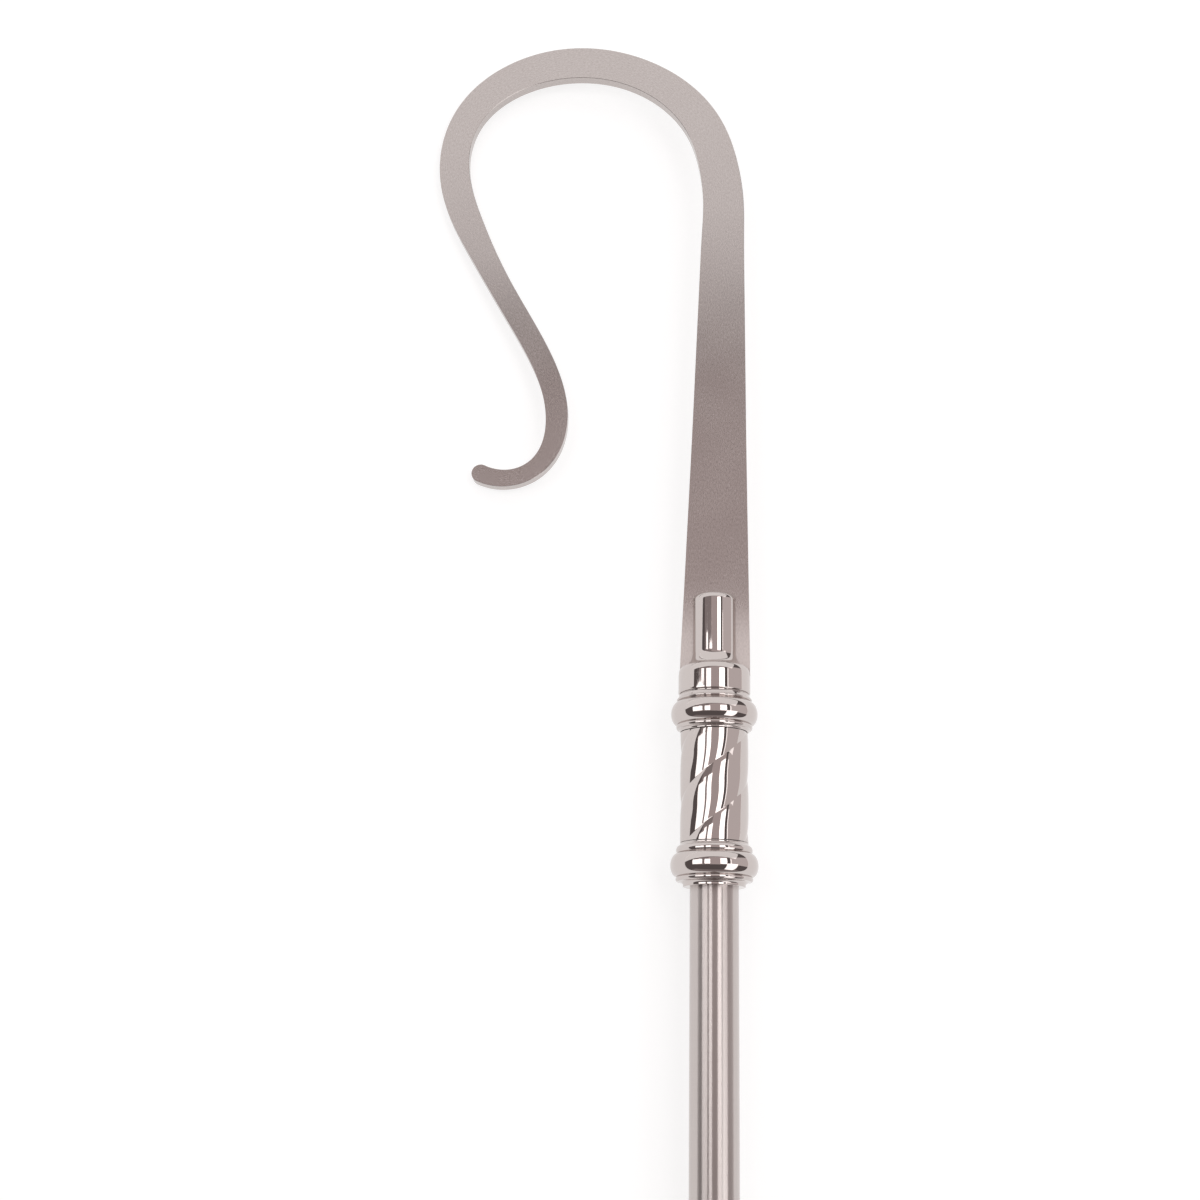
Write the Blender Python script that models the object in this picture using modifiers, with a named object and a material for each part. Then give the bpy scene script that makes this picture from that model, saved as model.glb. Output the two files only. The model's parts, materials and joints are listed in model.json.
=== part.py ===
"""Bishop crosier: a flat shepherd's crook in a slit socket, on a turned knop and a plain tube.

The staff is modelled along +Y from its foot, with the flat of the crook facing +Z and the crook
curling to -X. It is then laid on the floor, where it rests on its foot ferrule, on the lower collar
and on the outer edge of the crook. Metres, +Z up.
"""
import math

import bpy
import numpy as np
from mathutils import Matrix, Vector

# Clearances
FIT = 0.0003                    # left between a bore and what goes into it
FACE_GAP = 0.0003               # left between two shoulders that meet

# Staff tube, from the foot up
TUBE_TOP = 1.3516
TUBE_RADIUS = 0.0127
TUBE_WALL = 0.0016
TUBE_SEAT = 0.0110              # length of tube inside the lower collar

# Foot ferrule
FERRULE_LENGTH = 0.0400
FERRULE_WALL = 0.0014
FERRULE_SWELL = 0.0006          # how much wider it is at its foot
FERRULE_ROUND = 0.0030          # rounding round its flat end
FERRULE_FLOOR = 0.0080          # metal below the tube's end

# Spigots that go down from one turned piece into the next
SPIGOT_RADIUS = 0.0100
SPIGOT_LENGTH = 0.0070

# Twisted sleeve
SLEEVE_RADIUS = 0.0179
SLEEVE_LENGTH = 0.0581
SLEEVE_LOBES = 3
SLEEVE_LEAD = 0.0825            # length in which a lobe winds once round
GROOVE_DEPTH = 0.0010
GROOVE_DROP = 0.0178            # a groove crosses the front of the staff this far below the sleeve's top
LOBE_POWER = 3

# Collars, from the middle of the large bead
BAND_PROUD = 0.0020             # how far the band stands out past the sleeve
BEAD_PROUD = 0.0030             # how far the large bead stands out past the band
BEAD_DEPTH = 0.0036             # of the bead's oval, from its crest to its middle
BEAD_HALF_HEIGHT = 0.0058
BAND_GAP = 0.0002               # between the bead and the band above it
BAND_HEIGHT = 0.0020
LOWER_SLOPE = 0.0035            # height from the band to the collar's top
UPPER_SLOPE = 0.0020
SLOPE_SHARE = 0.4               # of the slope that stays straight
LIP_ROUND = 0.0012              # small bead under the large one
LIP_GAP = 0.0001
LOWER_FOOT_HEIGHT = 0.0028
UPPER_FOOT_HEIGHT = 0.0018
LOWER_FOOT_WALL = 0.0034        # of metal round the tube at the lower collar's mouth
UPPER_FOOT_PROUD = 0.0007
FOOT_ROUND = 0.0009

# Socket
CYLINDER_RADIUS = 0.0191
CYLINDER_TOP = 0.0114           # heights from the socket's own foot
CYLINDER_STEP = 0.0003
STEP_HEIGHT = 0.0011
RIM_ROUND = 0.0027
COVE_RISE = 0.0072
STUB_RADIUS = 0.0116
STUB_HEIGHT = 0.0343            # from the cove to the stub's top
STUB_ROUND = 0.0036
SLIT_DEPTH = 0.0003             # of the slit, below the start of the rim's rounding
CUTTER_REACH = 0.0060           # how far the slit's cutter runs past the metal

# Sizes and places that follow
FERRULE_TOP_RADIUS = TUBE_RADIUS + FIT + FERRULE_WALL
FERRULE_RADIUS = FERRULE_TOP_RADIUS + FERRULE_SWELL
BAND_RADIUS = SLEEVE_RADIUS + BAND_PROUD
BEAD_RADIUS = BAND_RADIUS + BEAD_PROUD
BAND_FOOT = BEAD_HALF_HEIGHT + BAND_GAP
BAND_TOP = BAND_FOOT + BAND_HEIGHT
LIP_HEIGHT = -(BEAD_HALF_HEIGHT + LIP_GAP + LIP_ROUND)
LOWER_BEAD_HEIGHT = LOWER_FOOT_HEIGHT + LIP_ROUND - LIP_HEIGHT
UPPER_BEAD_HEIGHT = UPPER_FOOT_HEIGHT + LIP_ROUND - LIP_HEIGHT
LOWER_COLLAR_FOOT = TUBE_TOP - TUBE_SEAT
SLEEVE_FOOT = LOWER_COLLAR_FOOT + LOWER_BEAD_HEIGHT + BAND_TOP + LOWER_SLOPE
SLEEVE_TOP = SLEEVE_FOOT + SLEEVE_LENGTH
SOCKET_FOOT = SLEEVE_TOP + UPPER_BEAD_HEIGHT + BAND_TOP + UPPER_SLOPE
STUB_TOP = CYLINDER_TOP + RIM_ROUND + COVE_RISE + STUB_HEIGHT
CROOK_FOOT = SOCKET_FOOT + CYLINDER_TOP - SLIT_DEPTH

# Crook: a flat bar whose middle line is given from its foot
PLATE_THICKNESS = 0.00635
EDGE_BEVEL = 0.0006
FOOT_INSET = 0.00035             # of the bar's foot, inside the socket's cylinder
CROOK_OFFSET = 0.0003
CROOK_LEAN = 1.0                # degrees to the right of straight up
# (distance from the foot, bend to the left there in 1/m); the bend changes evenly between rows
CROOK_BENDS = (
    (0.000, 0.0),
    (0.235, 0.0),
    (0.255, -1.5),
    (0.275, 7.6),
    (0.300, 6.3),
    (0.325, 14.5),
    (0.375, 11.4),
    (0.415, 11.7),
    (0.450, 12.8),
    (0.490, 18.5),
    (0.530, 13.5),
    (0.570, 2.1),
    (0.620, 1.1),
    (0.660, -6.2),
    (0.700, -20.9),
    (0.725, -38.8),
    (0.762, -31.7),
)
# (distance from the foot, width of the bar there)
CROOK_WIDTHS = (
    (0.000, 2.0 * (CYLINDER_RADIUS - FOOT_INSET)),
    (0.130, 0.0299),
    (0.270, 0.0232),
    (0.375, 0.0191),
    (0.430, 0.0197),
    (0.500, 0.0164),
    (0.550, 0.0179),
    (0.595, 0.0131),
    (0.640, 0.0127),
    (0.700, 0.0124),
    (0.725, 0.0091),
    (0.762, 0.0103),
)
WIDTH_EASE = 0.016              # length, each way, over which one width runs into the next
TANG_WIDTH = 0.0300
TANG_LENGTH = 0.0090

# Fineness of the facets
SPINE_STEP = 0.0005
EASE_SAMPLES = 9
CHORD_ERROR = 0.00005           # allowed between the bar's edge and its facets
LONGEST_CHORD = 0.0120
TIP_POINTS = 9

LOBE_COLUMNS = 14
SLEEVE_RINGS = 21
COLLAR_STEPS = 32
SOCKET_STEPS = 36
TUBE_STEPS = 32
SHARP_ANGLE = 40.0              # degrees

# Colours
SATIN = (0.47, 0.42, 0.41)
POLISHED = (0.60, 0.56, 0.55)


def clear_scene():
    """Empties the file of the objects that it opens with."""
    for obj in list(bpy.data.objects):
        bpy.data.objects.remove(obj, do_unlink=True)


def new_collection(name):
    """Adds a collection to the scene."""
    collection = bpy.data.collections.new(name)
    bpy.context.scene.collection.children.link(collection)
    return collection


def metal(name, colour, roughness):
    """Makes a metal of one colour."""
    material = bpy.data.materials.new(name)
    material.use_nodes = True
    shader = material.node_tree.nodes["Principled BSDF"]
    shader.inputs["Base Color"].default_value = (*colour, 1.0)
    shader.inputs["Metallic"].default_value = 1.0
    shader.inputs["Roughness"].default_value = roughness
    return material


def add_object(name, data, collection, lying, material):
    """Puts a mesh or a curve in the scene under the empty that lays the staff down."""
    obj = bpy.data.objects.new(name, data)
    collection.objects.link(obj)
    obj.parent = lying
    if material is not None:
        data.materials.append(material)
    return obj


def arc(centre, radii, start, end, count):
    """Points on an elliptical arc, with the angles in degrees and both ends included."""
    points = []
    for step in range(count):
        angle = math.radians(start + (end - start) * step / (count - 1))
        points.append((centre[0] + radii[0] * math.cos(angle), centre[1] + radii[1] * math.sin(angle)))
    return points


def turned(name, profile, foot, steps, collection, lying, material, closed=False):
    """Turns a profile of (radius, height) round the staff, whose heights start at the foot."""
    edges = [(i, i + 1) for i in range(len(profile) - 1)]
    if closed:
        edges.append((len(profile) - 1, 0))
    mesh = bpy.data.meshes.new(name)
    mesh.from_pydata([(radius, 0.0, height) for radius, height in profile], edges, [])
    obj = add_object(name, mesh, collection, lying, material)
    obj.location = (0.0, foot, 0.0)
    obj.rotation_euler = (math.radians(-90.0), 0.0, 0.0)
    screw = obj.modifiers.new("Turn", "SCREW")
    screw.axis = "Z"
    screw.angle = math.tau
    screw.steps = steps
    screw.render_steps = steps
    screw.use_merge_vertices = True
    screw.merge_threshold = 0.00001
    screw.use_smooth_shade = True
    return obj


def spigot_bore(top):
    """Profile points of the bore that takes the spigot of the piece above, from the axis outwards."""
    floor = top - SPIGOT_LENGTH - FIT
    return [(0.0, floor), (SPIGOT_RADIUS + FIT, floor), (SPIGOT_RADIUS + FIT, top)]


def spigot(shoulder):
    """Profile points of a spigot under a shoulder, ending at the axis."""
    end = shoulder - SPIGOT_LENGTH
    return [(SPIGOT_RADIUS, shoulder), (SPIGOT_RADIUS, end), (0.0, end)]


def collar_rings(top, top_radius, bottom, foot_radius):
    """Outer profile of a collar, from its top face down, with heights from the large bead."""
    slope = [(top_radius, top), (top_radius, top - (top - BAND_TOP) * SLOPE_SHARE)]
    band = [(BAND_RADIUS, BAND_TOP), (BAND_RADIUS, BAND_FOOT)]
    bead = arc((BEAD_RADIUS - BEAD_DEPTH, 0.0), (BEAD_DEPTH, BEAD_HALF_HEIGHT), 80.0, -80.0, 9)
    lip = arc((BAND_RADIUS - LIP_ROUND, LIP_HEIGHT), (LIP_ROUND, LIP_ROUND), 70.0, -70.0, 4)
    foot = arc((foot_radius - FOOT_ROUND, bottom + FOOT_ROUND), (FOOT_ROUND, FOOT_ROUND), 60.0, -90.0, 5)
    return slope + band + bead + lip + foot


def make_lower_collar(collection, lying, material):
    """Collar that the sleeve stands on and the tube goes up into."""
    top = BAND_TOP + LOWER_SLOPE
    bottom = -LOWER_BEAD_HEIGHT
    foot_radius = TUBE_RADIUS + FIT + LOWER_FOOT_WALL
    seat = bottom + TUBE_SEAT + FIT
    profile = spigot_bore(top) + collar_rings(top, SLEEVE_RADIUS, bottom, foot_radius)
    profile += [(TUBE_RADIUS + FIT, bottom), (TUBE_RADIUS + FIT, seat), (0.0, seat)]
    return turned("lower_collar", profile, LOWER_COLLAR_FOOT + LOWER_BEAD_HEIGHT, COLLAR_STEPS,
                  collection, lying, material)


def make_upper_collar(collection, lying, material):
    """Collar between the sleeve and the socket."""
    top = BAND_TOP + UPPER_SLOPE
    bottom = FACE_GAP - UPPER_BEAD_HEIGHT
    foot_radius = SLEEVE_RADIUS + UPPER_FOOT_PROUD
    profile = spigot_bore(top)
    profile += collar_rings(top, CYLINDER_RADIUS - CYLINDER_STEP, bottom, foot_radius)
    profile += spigot(bottom)
    return turned("upper_collar", profile, SLEEVE_TOP + UPPER_BEAD_HEIGHT, COLLAR_STEPS,
                  collection, lying, material)


def lobed_ring(height):
    """Points round the twisted sleeve at one height, as seen from above the staff's top.

    A lobe falls off with a power of the distance from its crest, down to a sharp groove.
    """
    turn = math.tau * (height - SLEEVE_TOP + GROOVE_DROP) / SLEEVE_LEAD
    columns = SLEEVE_LOBES * LOBE_COLUMNS
    points = []
    for column in range(columns):
        across = 2.0 * (column % LOBE_COLUMNS) / LOBE_COLUMNS - 1.0
        radius = SLEEVE_RADIUS - GROOVE_DEPTH * abs(across) ** LOBE_POWER
        angle = math.tau * column / columns + turn
        points.append(Vector((radius * math.sin(angle), height, radius * math.cos(angle))))
    return points


def round_ring(radius, height, lobed_height):
    """Points on a circle in step with the lobes of the ring beside it."""
    return [Vector((point.x, 0.0, point.z)).normalized() * radius + Vector((0.0, height, 0.0))
            for point in lobed_ring(lobed_height)]


def loft(name, rings, collection, lying, material):
    """Joins rings of equal count into one closed skin, capped at both ends."""
    count = len(rings[0])
    points = [point for ring in rings for point in ring]
    faces = []
    for level in range(len(rings) - 1):
        for column in range(count):
            beside = (column + 1) % count
            below = (level + 1) * count
            faces.append((level * count + column, below + column, below + beside, level * count + beside))
    faces.append(tuple(range(count)))
    last = (len(rings) - 1) * count
    faces.append(tuple(last + column for column in reversed(range(count))))
    mesh = bpy.data.meshes.new(name)
    mesh.from_pydata(points, [], faces)
    mesh.shade_smooth()
    mesh.set_sharp_from_angle(angle=math.radians(SHARP_ANGLE))
    return add_object(name, mesh, collection, lying, material)


def make_twisted_sleeve(collection, lying, material):
    """Sleeve with lobes that wind up to the right, bored at its top and with a spigot at its foot."""
    shoulder = SLEEVE_FOOT + FACE_GAP
    floor = SLEEVE_TOP - SPIGOT_LENGTH - FIT
    end = shoulder - SPIGOT_LENGTH
    rings = [round_ring(SPIGOT_RADIUS + FIT, height, SLEEVE_TOP) for height in (floor, SLEEVE_TOP)]
    for step in range(SLEEVE_RINGS):
        height = SLEEVE_TOP + (shoulder - SLEEVE_TOP) * step / (SLEEVE_RINGS - 1)
        rings.append(lobed_ring(height))
    rings += [round_ring(SPIGOT_RADIUS, height, shoulder) for height in (shoulder, end)]
    return loft("twisted_sleeve", rings, collection, lying, material)


def box_cutter(name, low, high, cutters, lying):
    """Adds a box that cuts, from one corner to the other."""
    bpy.ops.mesh.primitive_cube_add(size=1.0)
    box = bpy.context.active_object
    box.name = name
    for owner in list(box.users_collection):
        owner.objects.unlink(box)
    cutters.objects.link(box)
    middle = (Vector(low) + Vector(high)) / 2.0
    size = Vector(high) - Vector(low)
    box.data.transform(Matrix.Translation(middle) @ Matrix.Diagonal((*size, 1.0)))
    box.parent = lying
    box.hide_render = True
    box.display_type = "WIRE"
    return box


def make_socket(collection, cutters, lying, material):
    """Turned socket, slit from its top for the bar and mortised below the slit for the tang."""
    lower = CYLINDER_RADIUS - CYLINDER_STEP
    shelf = CYLINDER_TOP + RIM_ROUND
    rim_inner = CYLINDER_RADIUS - RIM_ROUND
    profile = [(0.0, STUB_TOP)]
    profile += arc((STUB_RADIUS - STUB_ROUND, STUB_TOP - STUB_ROUND), (STUB_ROUND, STUB_ROUND), 90.0, 0.0, 5)
    profile += arc((rim_inner, shelf + COVE_RISE), (rim_inner - STUB_RADIUS, COVE_RISE), 180.0, 270.0, 6)
    profile += arc((rim_inner, CYLINDER_TOP), (RIM_ROUND, RIM_ROUND), 75.0, 0.0, 4)
    profile += [(CYLINDER_RADIUS, STEP_HEIGHT), (lower, STEP_HEIGHT - CYLINDER_STEP), (lower, FACE_GAP)]
    profile += spigot(FACE_GAP)
    socket = turned("socket", profile, SOCKET_FOOT, SOCKET_STEPS, collection, lying, material)

    side = PLATE_THICKNESS / 2.0 + FIT
    beyond = CYLINDER_RADIUS + CUTTER_REACH
    slit_foot = CROOK_FOOT - FACE_GAP
    mortise_side = TANG_WIDTH / 2.0 + FIT
    mortise_foot = CROOK_FOOT - TANG_LENGTH - FACE_GAP
    above = SOCKET_FOOT + STUB_TOP + CUTTER_REACH
    slit = box_cutter("slit_cutter", (-beyond, slit_foot, -side), (beyond, above, side), cutters, lying)
    mortise = box_cutter("mortise_cutter", (-mortise_side, mortise_foot, -side),
                         (mortise_side, slit_foot + RIM_ROUND, side), cutters, lying)
    for cutter in (slit, mortise):
        cut = socket.modifiers.new(cutter.name, "BOOLEAN")
        cut.operation = "DIFFERENCE"
        cut.solver = "EXACT"
        cut.object = cutter
    return socket


def crook_spine():
    """Middle line of the bar: distances, points, headings, bends and half widths."""
    along, bends = np.array(CROOK_BENDS).T
    distance = np.arange(0.0, along[-1] + SPINE_STEP / 2.0, SPINE_STEP)
    bend = np.interp(distance, along, bends)
    turn = np.concatenate(([0.0], np.cumsum((bend[1:] + bend[:-1]) / 2.0 * SPINE_STEP)))
    heading = math.radians(90.0 - CROOK_LEAN) + turn
    between = (heading[1:] + heading[:-1]) / 2.0
    across = CROOK_OFFSET + np.concatenate(([0.0], np.cumsum(np.cos(between)))) * SPINE_STEP
    up = CROOK_FOOT + np.concatenate(([0.0], np.cumsum(np.sin(between)))) * SPINE_STEP
    ease = np.linspace(-WIDTH_EASE, WIDTH_EASE, EASE_SAMPLES)
    widths = np.array(CROOK_WIDTHS).T
    half = np.mean([np.interp(distance + shift, *widths) for shift in ease], axis=0) / 2.0
    half[0] = CROOK_WIDTHS[0][1] / 2.0
    return distance, np.stack([across, up], 1), heading, bend, half


def crook_outline():
    """Points round the bar, up its right side and down its left, with a round tip and the tang."""
    distance, points, heading, bend, half = crook_spine()
    end = distance[-1] - half[-1]
    stations = [0.0]
    while stations[-1] < end:
        here = int(stations[-1] / SPINE_STEP)
        radius = 1.0 / max(abs(bend[here]), 1e-6)
        chord = min(LONGEST_CHORD, math.sqrt(8.0 * radius * CHORD_ERROR))
        stations.append(stations[-1] + chord)
    stations[-1] = end
    right = []
    left = []
    for station in stations:
        here = int(round(station / SPINE_STEP))
        normal = np.array([-math.sin(heading[here]), math.cos(heading[here])])
        right.append(points[here] - normal * half[here])
        left.append(points[here] + normal * half[here])
    here = int(round(end / SPINE_STEP))
    tip = []
    for step in range(1, TIP_POINTS):
        angle = heading[here] - math.pi / 2.0 + math.pi * step / TIP_POINTS
        tip.append(points[here] + half[here] * np.array([math.cos(angle), math.sin(angle)]))
    tang_side = TANG_WIDTH / 2.0
    tang_foot = CROOK_FOOT - TANG_LENGTH
    foot = [(-tang_side, CROOK_FOOT), (-tang_side, tang_foot), (tang_side, tang_foot), (tang_side, CROOK_FOOT)]
    right[0][1] = CROOK_FOOT
    left[0][1] = CROOK_FOOT
    return right + tip + left[::-1] + foot


def make_crook(collection, lying, material):
    """Flat bar cut to the crook's outline, with a small bevel round its edges."""
    outline = crook_outline()
    curve = bpy.data.curves.new("crook", "CURVE")
    curve.dimensions = "2D"
    curve.fill_mode = "BOTH"
    curve.extrude = PLATE_THICKNESS / 2.0 - EDGE_BEVEL
    curve.bevel_depth = EDGE_BEVEL
    curve.bevel_resolution = 0
    curve.offset = -EDGE_BEVEL
    spline = curve.splines.new("POLY")
    spline.points.add(len(outline) - 1)
    for point, place in zip(spline.points, outline):
        point.co = (place[0], place[1], 0.0, 1.0)
    spline.use_cyclic_u = True
    return add_object("crook", curve, collection, lying, material)


def make_staff_tube(collection, lying, material):
    """Hollow tube from the ferrule's floor up into the lower collar."""
    foot = FERRULE_FLOOR + FACE_GAP
    length = TUBE_TOP - foot
    inner = TUBE_RADIUS - TUBE_WALL
    profile = [(TUBE_RADIUS, length), (TUBE_RADIUS, length * 2.0 / 3.0), (TUBE_RADIUS, length / 3.0),
               (TUBE_RADIUS, 0.0), (inner, 0.0), (inner, length / 3.0), (inner, length * 2.0 / 3.0),
               (inner, length)]
    return turned("staff_tube", profile, foot, TUBE_STEPS, collection, lying, material, closed=True)


def make_foot_ferrule(collection, lying, material):
    """Plain cap over the tube's lower end, flat underneath."""
    bore = TUBE_RADIUS + FIT
    profile = [(0.0, FERRULE_FLOOR), (bore, FERRULE_FLOOR), (bore, FERRULE_LENGTH)]
    profile += [(FERRULE_TOP_RADIUS - EDGE_BEVEL, FERRULE_LENGTH)]
    profile += [(FERRULE_TOP_RADIUS, FERRULE_LENGTH - EDGE_BEVEL)]
    profile += arc((FERRULE_RADIUS - FERRULE_ROUND, FERRULE_ROUND), (FERRULE_ROUND, FERRULE_ROUND), 0.0, -90.0, 5)
    profile += [(0.0, 0.0)]
    return turned("foot_ferrule", profile, 0.0, TUBE_STEPS, collection, lying, material)


def lay_down(lying):
    """Turns the staff so that ferrule, lower collar and crook touch the floor, and centres it."""
    distance, points, heading, bend, half = crook_spine()
    outer = points[:, 0] - half * np.abs(np.sin(heading))
    widest = int(np.argmin(outer))
    reach = -outer[widest]
    reach_place = points[widest, 1]
    collar_place = LOWER_COLLAR_FOOT + LOWER_BEAD_HEIGHT
    pitch = math.asin((BEAD_RADIUS - FERRULE_RADIUS) / (collar_place - FERRULE_ROUND))
    height = FERRULE_RADIUS + (reach_place - FERRULE_ROUND) * math.sin(pitch)
    half_thickness = PLATE_THICKNESS / 2.0
    roll = math.asin(height / math.hypot(reach, half_thickness)) - math.atan(half_thickness / reach)
    turn = Matrix.Rotation(pitch, 4, "X") @ Matrix.Rotation(-roll, 4, "Y")
    lying.matrix_world = turn
    bpy.context.view_layer.update()

    depsgraph = bpy.context.evaluated_depsgraph_get()
    corners = []
    for obj in lying.children:
        if obj.hide_render:
            continue
        shown = obj.evaluated_get(depsgraph)
        mesh = shown.to_mesh()
        corners += [shown.matrix_world @ vertex.co for vertex in mesh.vertices]
        shown.to_mesh_clear()
    corners = np.array(corners)
    low = corners.min(axis=0)
    high = corners.max(axis=0)
    shift = Vector((-(low[0] + high[0]) / 2.0, -(low[1] + high[1]) / 2.0, -low[2]))
    lying.matrix_world = Matrix.Translation(shift) @ turn


def main():
    """Makes every piece and lays the staff on the floor."""
    clear_scene()
    collection = new_collection("bishop_crosier")
    cutters = new_collection("cutters")
    lying = bpy.data.objects.new("lying", None)
    bpy.context.scene.collection.objects.link(lying)
    satin = (SATIN, 0.35)
    polished = (POLISHED, 0.08)

    make_staff_tube(collection, lying, metal("staff_tube", *satin))
    make_foot_ferrule(collection, lying, metal("foot_ferrule", *polished))
    make_lower_collar(collection, lying, metal("lower_collar", *polished))
    make_twisted_sleeve(collection, lying, metal("twisted_sleeve", *polished))
    make_upper_collar(collection, lying, metal("upper_collar", *polished))
    make_socket(collection, cutters, lying, metal("socket", *polished))
    make_crook(collection, lying, metal("crook", *satin))
    lay_down(lying)


main()
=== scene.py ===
# Bishop crosier lying on a pale floor: satin nickel crook, polished socket and knop, satin tube.
# All shapes are worked out in the staff's own directions, x across, y up the staff from its foot,
# z out of the flat of the crook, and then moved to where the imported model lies.
import json
import math

import bmesh
import bpy
import numpy as np
from mathutils import Matrix


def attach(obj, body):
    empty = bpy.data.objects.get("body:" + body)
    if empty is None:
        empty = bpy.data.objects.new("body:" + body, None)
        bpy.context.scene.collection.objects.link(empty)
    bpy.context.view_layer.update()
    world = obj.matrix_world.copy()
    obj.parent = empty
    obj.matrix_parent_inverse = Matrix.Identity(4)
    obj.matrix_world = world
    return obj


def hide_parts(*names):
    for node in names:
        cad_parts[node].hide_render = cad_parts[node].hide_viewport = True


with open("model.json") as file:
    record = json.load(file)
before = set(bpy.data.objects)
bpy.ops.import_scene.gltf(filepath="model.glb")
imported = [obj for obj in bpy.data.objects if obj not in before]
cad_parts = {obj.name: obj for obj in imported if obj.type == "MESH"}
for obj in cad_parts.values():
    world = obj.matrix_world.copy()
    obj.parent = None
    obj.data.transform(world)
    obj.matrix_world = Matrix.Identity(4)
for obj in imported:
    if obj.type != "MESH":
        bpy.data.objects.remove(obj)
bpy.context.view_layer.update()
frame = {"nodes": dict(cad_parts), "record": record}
print("packed model loaded:", ", ".join(sorted(frame["nodes"])))

scene = bpy.context.scene
scene.view_settings.view_transform = "Standard"  # the photograph's white ground stays white


flatRise = 0.97  # a face of the crook belongs to its flat where its normal rises more than this


# Where the staff lies. Its length is the record's foot face turned round, and the flat of the
# crook is the mean of the crook's upper faces, weighted by their area.
def findStaffDirections():
    mount = frame["record"]["mounts"][0]
    upStaff = -np.array(mount["axis"])
    mesh = frame["nodes"]["crook"].data
    normals = np.empty(len(mesh.polygons) * 3)
    areas = np.empty(len(mesh.polygons))
    mesh.polygons.foreach_get("normal", normals)
    mesh.polygons.foreach_get("area", areas)
    normals = normals.reshape(-1, 3)
    facingUp = normals[:, 2] > flatRise
    outOfFlat = (normals[facingUp] * areas[facingUp, None]).sum(axis=0)
    across = np.cross(upStaff, outOfFlat)
    across /= np.linalg.norm(across)
    outOfFlat = np.cross(across, upStaff)
    return np.stack([across, upStaff, outOfFlat], axis=1), np.array(mount["pos_m"])


staffTurn, staffFoot = findStaffDirections()


# A point of the staff in the scene: its three distances along the staff's directions, from the foot.
def toScene(points):
    return points @ staffTurn.T + staffFoot


def linearColour(hexCode):  # "#rrggbb" as the linear colour that the shader takes
    levels = np.array([int(hexCode[i:i + 2], 16) for i in (1, 3, 5)]) / 255.0
    linear = np.where(levels <= 0.04045, levels / 12.92, ((levels + 0.055) / 1.055) ** 2.4)
    return (*linear.tolist(), 1.0)


# Adds a node: settings are its own properties, inputs are values or the sockets that feed it.
def addNode(tree, kind, inputs=None, **settings):
    node = tree.nodes.new(kind)
    for name, value in settings.items():
        setattr(node, name, value)
    for name, value in (inputs or {}).items():
        if isinstance(value, bpy.types.NodeSocket):
            tree.links.new(value, node.inputs[name])
        else:
            node.inputs[name].default_value = value
    return node


def newMaterial(name):  # an empty node tree with its shader and output
    material = bpy.data.materials.new(name)
    material.use_nodes = True
    tree = material.node_tree
    return material, tree, tree.nodes["Principled BSDF"]


satinBarLook = {
    "colour": "#a8a09d",
    "paleColour": "#ccc4c1",
    "colourSpread": (0.1, 0.9),  # the part of the grain's noise that goes from one colour to the other
    "roughness": (0.17, 0.23),  # least and most over the grain
    "roughnessSpread": (0.1, 0.4),
    "grain": 0.0006,  # real blasted grain is about 0.2 mm, drawn at 0.6 mm so that it shows at all
    "grainStretch": 2.5,  # longer along the bar, as it was brushed that way
    "grainDepth": 0.0000008,
    "wipe": 0.035,  # size of the soft uneven patches that handling leaves
    "footReach": 0.055,  # beside the socket, up to here, the foot is rougher and has painted light from the socket
    "footRoughness": 0.34,  # what that adds to its roughness
    "footPaintedGlow": 0.45,  # and to the share of the pale colour: a painted glow of light bounced off the socket
}
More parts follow.
